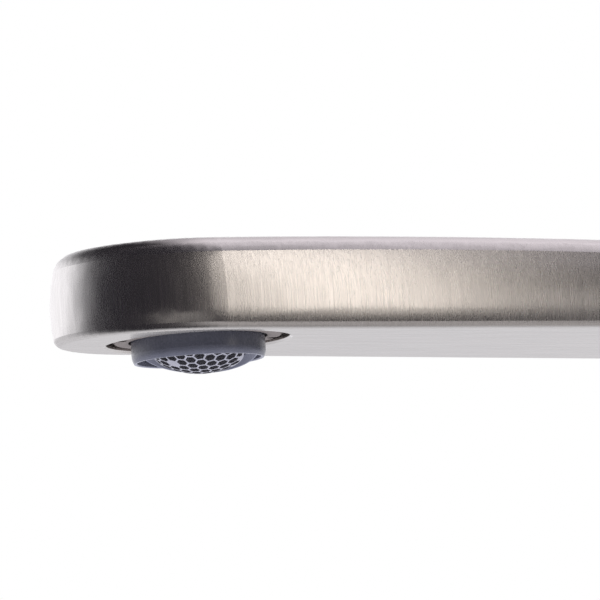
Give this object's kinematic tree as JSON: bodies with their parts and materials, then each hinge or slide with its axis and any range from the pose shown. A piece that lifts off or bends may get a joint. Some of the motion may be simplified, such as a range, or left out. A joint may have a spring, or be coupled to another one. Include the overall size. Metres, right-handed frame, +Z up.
{
  "type": "wall-mounted basin faucet",
  "caption": "Wall-mounted basin faucet: flat blade spout with swivel honeycomb outlet, and a tilting lever valve, on one stadium-shaped wall plate.",
  "frame": {"origin": "centre of the wall plate's outline, on the finished wall", "axes": "+X right for someone facing the wall, +Y into the wall, +Z up"},
  "size_m": [0.184, 0.2442, 0.1353],
  "materials": {
    "brushed_nickel": "brushed nickel plating over brass, fine grain along the piece",
    "valve_brass": "bare machined brass",
    "zinc_steel": "zinc-plated steel",
    "stainless": "plain stainless steel",
    "black_rubber": "matt black rubber",
    "grey_foam_rubber": "soft grey rubber",
    "fibre": "red fibre washer",
    "collar_plastic": "pale grey moulded plastic",
    "ring_plastic": "slate grey moulded plastic, satin",
    "honeycomb_plastic": "pale grey moulded plastic",
    "clear_white_plastic": "white moulded plastic",
    "cartridge_plastic": "white moulded plastic",
    "spindle_metal": "plain brass",
    "alumina": "lapped white alumina",
    "plug_plastic": "grey plastic"
  },
  "bodies": {
    "root": {"spout_body": "brushed_nickel", "aerator_collar": "collar_plastic", "aerator_gasket": "black_rubber", "jet_plate": "clear_white_plastic", "flow_regulator": "clear_white_plastic", "regulator_o_ring": "black_rubber", "inlet_screen": "clear_white_plastic", "spout_set_screw": "stainless", "outlet_nipple": "valve_brass", "nipple_o_rings": "black_rubber", "nipple_seal": "fibre", "escutcheon_plate": "brushed_nickel", "plate_gasket": "grey_foam_rubber", "spout_grommet": "grey_foam_rubber", "valve_body": "valve_brass", "mounting_bracket": "zinc_steel", "body_screws": "zinc_steel", "cartridge_base": "cartridge_plastic", "base_seals": "black_rubber", "disc_seals": "black_rubber", "fixed_disc": "alumina", "cartridge_housing": "cartridge_plastic", "cartridge_nut": "valve_brass", "trim_sleeve": "brushed_nickel", "sleeve_o_ring": "black_rubber"},
    "swivel": {"swivel_ring": "ring_plastic"},
    "outlet": {"outlet_ball": "ring_plastic", "honeycomb": "honeycomb_plastic"},
    "rotor": {"spindle_rotor": "cartridge_plastic", "spindle_pin": "stainless", "rotor_o_ring": "black_rubber"},
    "lever": {"spindle": "spindle_metal", "lever_handle": "brushed_nickel", "lever_set_screw": "stainless", "lever_plug": "plug_plastic"},
    "carrier": {"disc_carrier": "cartridge_plastic", "moving_disc": "alumina"}
  },
  "joints": [
    {"name": "swivel_spin", "type": "hinge", "parent": "root", "child": "swivel", "pos_m": [-0.048, -0.17, -0.0065], "axis": [0, 0, 1], "continuous": true},
    {"name": "swivel_tilt", "type": "hinge", "parent": "swivel", "child": "outlet", "pos_m": [-0.048, -0.17, -0.0068], "axis": [-0.6691, -0.7431, 0], "range_deg": [-39, 1]},
    {"name": "lever_turn", "type": "hinge", "parent": "root", "child": "rotor", "pos_m": [0.048, -0.0035, 0], "axis": [0, 1, 0], "range_deg": [-45, 45]},
    {"name": "lever_lift", "type": "hinge", "parent": "rotor", "child": "lever", "pos_m": [0.048, -0.0035, 0], "axis": [-1, 0, 0], "range_deg": [0, 20]},
    {"name": "disc_slide", "type": "slide", "parent": "rotor", "child": "carrier", "axis": [0, 0, -1], "range_m": [0, 0.0045]}
  ],
  "couplings": [
    {"joint": "disc_slide", "follows": "lever_lift", "m_per_rad": 0.0118}
  ]
}
